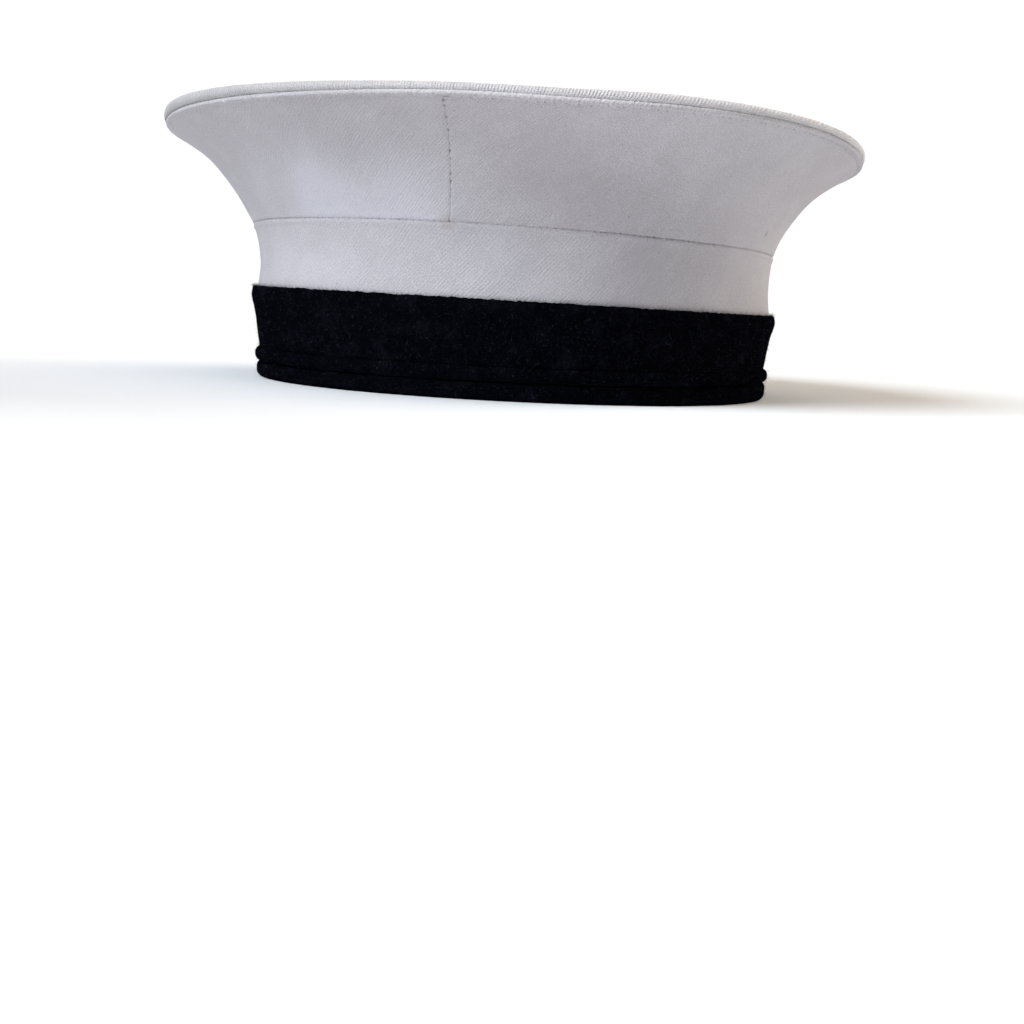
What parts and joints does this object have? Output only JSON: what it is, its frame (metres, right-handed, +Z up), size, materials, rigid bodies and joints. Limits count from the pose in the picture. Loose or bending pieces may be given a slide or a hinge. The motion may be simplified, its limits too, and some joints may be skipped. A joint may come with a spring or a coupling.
{
  "type": "sailor cap",
  "caption": "Flat-topped sailor cap with a flared white cloth crown, a white stand and a navy wool band, open underneath for the head.",
  "frame": {"origin": "centre of the head opening, in the plane that the hem rests on", "axes": "+Z up from the hem to the crown; -Y to the front of the cap, where the crown is highest; +X to the wearer's left"},
  "size_m": [0.2446, 0.2544, 0.0958],
  "materials": {
    "white_twill": "matt cotton twill",
    "navy_wool": "milled wool, matt and slightly fuzzy"
  },
  "bodies": {
    "root": {"crown_top": "white_twill", "wall_left": "white_twill", "wall_right": "white_twill", "stand": "white_twill", "wool_band": "navy_wool", "welt": "navy_wool", "hem": "navy_wool"}
  },
  "joints": []
}
